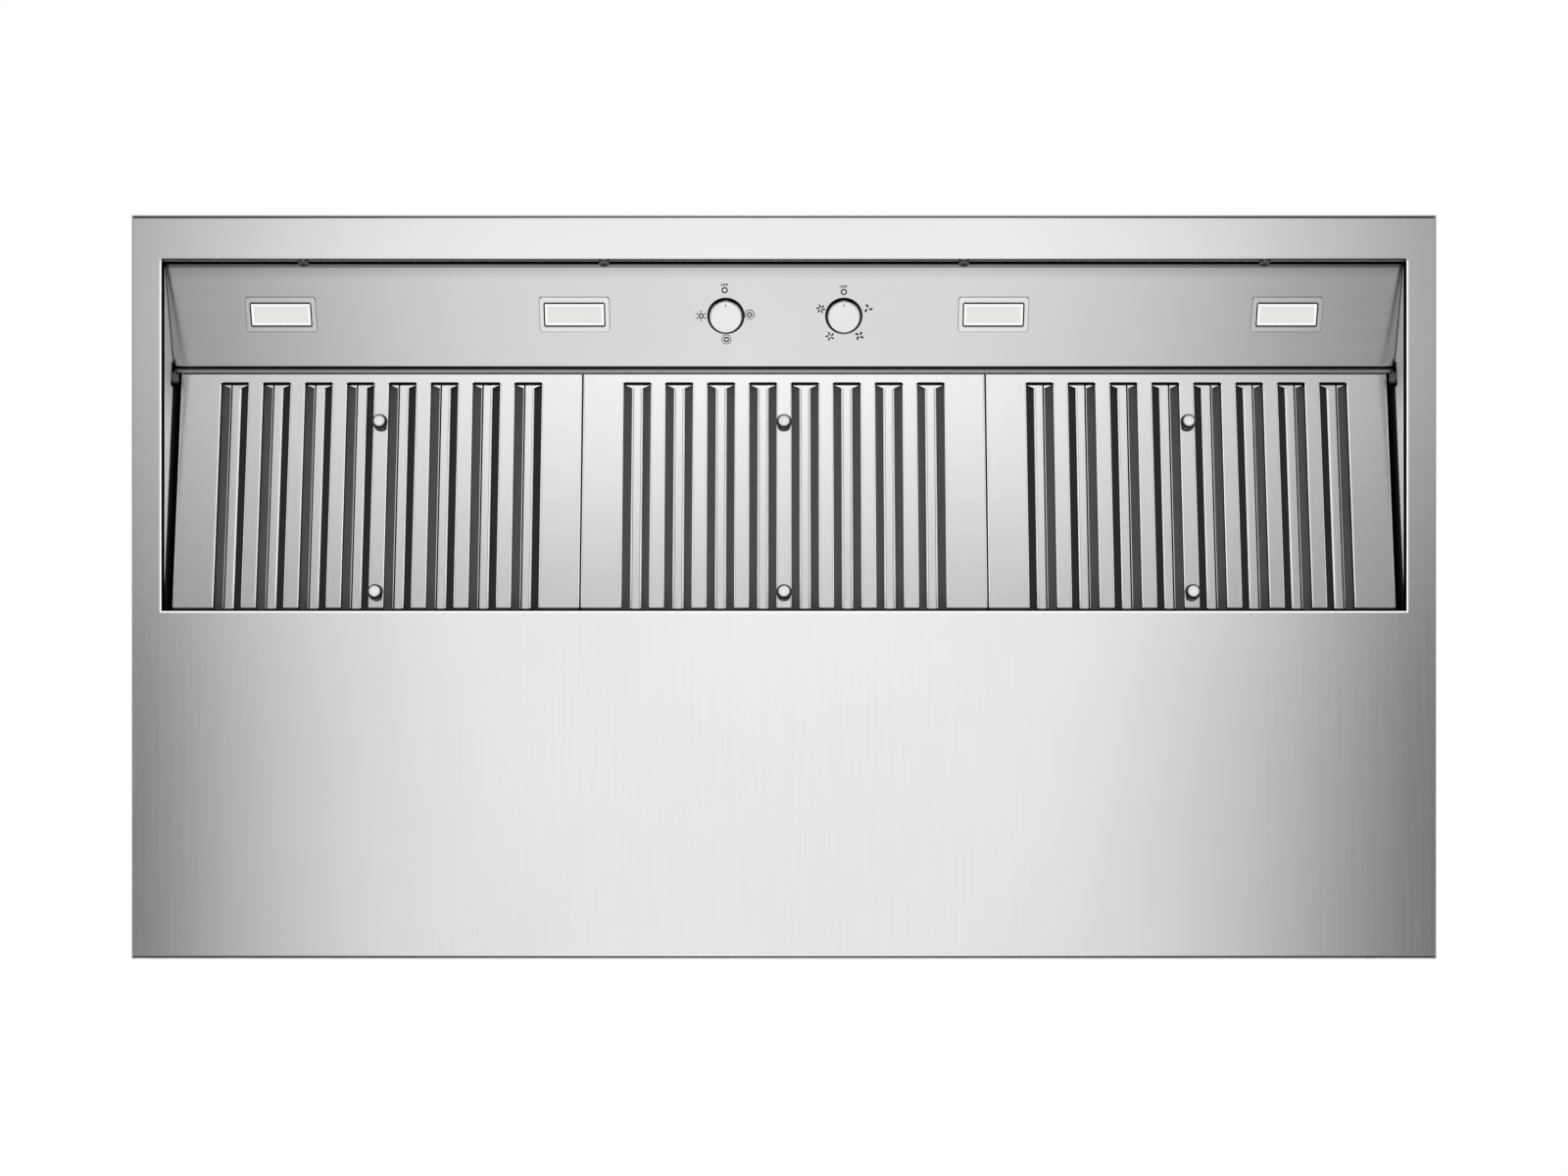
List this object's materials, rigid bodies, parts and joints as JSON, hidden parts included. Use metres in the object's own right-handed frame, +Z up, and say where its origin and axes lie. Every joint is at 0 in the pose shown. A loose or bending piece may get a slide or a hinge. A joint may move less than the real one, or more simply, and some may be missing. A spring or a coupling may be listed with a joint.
{
  "type": "wall mount range hood",
  "caption": "Slope-front stainless wall mount range hood: slanted control panel with lamps and knobs, lift-out baffle filters, internal centrifugal blower, round damper collar on top.",
  "frame": {"origin": "centre of the four wall bolt holes, on the wall plane (the back panel's rear face)", "axes": "+X to the right as the user faces the wall, +Y to the wall, +Z up"},
  "size_m": [1.2192, 0.695, 0.607],
  "materials": {
    "canopy_steel": "brushed",
    "recess_steel": "brushed",
    "galvanised_steel": "galvanised",
    "screw_steel": "plated",
    "knob_metal": "satin",
    "shaft_brass": "turned",
    "switch_plastic": "moulded",
    "motor_enamel": "enamelled",
    "damper_aluminium": "mill",
    "driver_case": "moulded",
    "filter_steel": "brushed",
    "filter_mesh": "woven",
    "filter_knob_chrome": "polished",
    "lamp_metal": "satin",
    "lamp_lens": "frosted",
    "lamp_board": "lacquered"
  },
  "bodies": {
    "hood": {"back_panel": "galvanised_steel", "bottom_pan": "canopy_steel", "control_panel": "recess_steel", "damper_rod": "screw_steel", "duct_collar": "galvanised_steel", "fan_switch": "switch_plastic", "front_cover": "canopy_steel", "front_filter_rail": "recess_steel", "junction_box": "galvanised_steel", "junction_box_cover": "galvanised_steel", "led_driver": "driver_case", "left_inner_lamp_board": "lamp_board", "left_inner_lamp_housing": "lamp_metal", "left_inner_lamp_lens": "lamp_lens", "left_liner": "recess_steel", "left_outer_lamp_board": "lamp_board", "left_outer_lamp_housing": "lamp_metal", "left_outer_lamp_lens": "lamp_lens", "left_scroll": "galvanised_steel", "left_side_panel": "canopy_steel", "light_switch": "switch_plastic", "liner_screws": "screw_steel", "lip_screws": "screw_steel", "motor": "motor_enamel", "motor_bracket": "galvanised_steel", "outlet_transition": "galvanised_steel", "panel_screws": "screw_steel", "rear_filter_rail": "recess_steel", "right_inner_lamp_board": "lamp_board", "right_inner_lamp_housing": "lamp_metal", "right_inner_lamp_lens": "lamp_lens", "right_liner": "recess_steel", "right_outer_lamp_board": "lamp_board", "right_outer_lamp_housing": "lamp_metal", "right_outer_lamp_lens": "lamp_lens", "right_scroll": "galvanised_steel", "right_side_panel": "canopy_steel", "switch_nuts": "screw_steel", "top_panel": "canopy_steel"},
    "light_control": {"light_knob": "knob_metal", "light_switch_shaft": "shaft_brass"},
    "fan_control": {"fan_knob": "knob_metal", "fan_switch_shaft": "shaft_brass"},
    "blower_rotor": {"left_wheel": "galvanised_steel", "right_wheel": "galvanised_steel", "motor_shaft": "screw_steel"},
    "front_damper": {"front_damper_flap": "damper_aluminium"},
    "rear_damper": {"rear_damper_flap": "damper_aluminium"},
    "left_filter": {"left_filter_frame": "filter_steel", "left_filter_baffles": "filter_steel", "left_filter_mesh": "filter_mesh", "left_filter_knobs": "filter_knob_chrome"},
    "middle_filter": {"middle_filter_frame": "filter_steel", "middle_filter_baffles": "filter_steel", "middle_filter_mesh": "filter_mesh", "middle_filter_knobs": "filter_knob_chrome"},
    "right_filter": {"right_filter_frame": "filter_steel", "right_filter_baffles": "filter_steel", "right_filter_mesh": "filter_mesh", "right_filter_knobs": "filter_knob_chrome"}
  },
  "joints": [
    {"name": "light_knob_turn", "type": "hinge", "parent": "hood", "child": "light_control", "pos_m": [-0.055, -0.6039, -0.22084], "axis": [0, -0.3502, 0.9367], "range_deg": [0, 270]},
    {"name": "fan_knob_turn", "type": "hinge", "parent": "hood", "child": "fan_control", "pos_m": [0.0566, -0.6039, -0.22084], "axis": [0, -0.3502, 0.9367], "range_deg": [0, 288]},
    {"name": "left_filter_slide", "type": "slide", "parent": "hood", "child": "left_filter", "axis": [0, -0.9858, 0.1678], "range_m": [0, 0.014]},
    {"name": "middle_filter_slide", "type": "slide", "parent": "hood", "child": "middle_filter", "axis": [0, -0.9858, 0.1678], "range_m": [0, 0.014]},
    {"name": "right_filter_slide", "type": "slide", "parent": "hood", "child": "right_filter", "axis": [0, -0.9858, 0.1678], "range_m": [0, 0.014]},
    {"name": "blower_spin", "type": "hinge", "parent": "hood", "child": "blower_rotor", "pos_m": [0, -0.165, 0.05], "axis": [1, 0, 0], "continuous": true},
    {"name": "front_damper_swing", "type": "hinge", "parent": "hood", "child": "front_damper", "pos_m": [0, -0.16, 0.319], "axis": [-1, 0, 0], "range_deg": [0, 80]},
    {"name": "rear_damper_swing", "type": "hinge", "parent": "hood", "child": "rear_damper", "pos_m": [0, -0.16, 0.319], "axis": [1, 0, 0], "range_deg": [0, 80]}
  ]
}
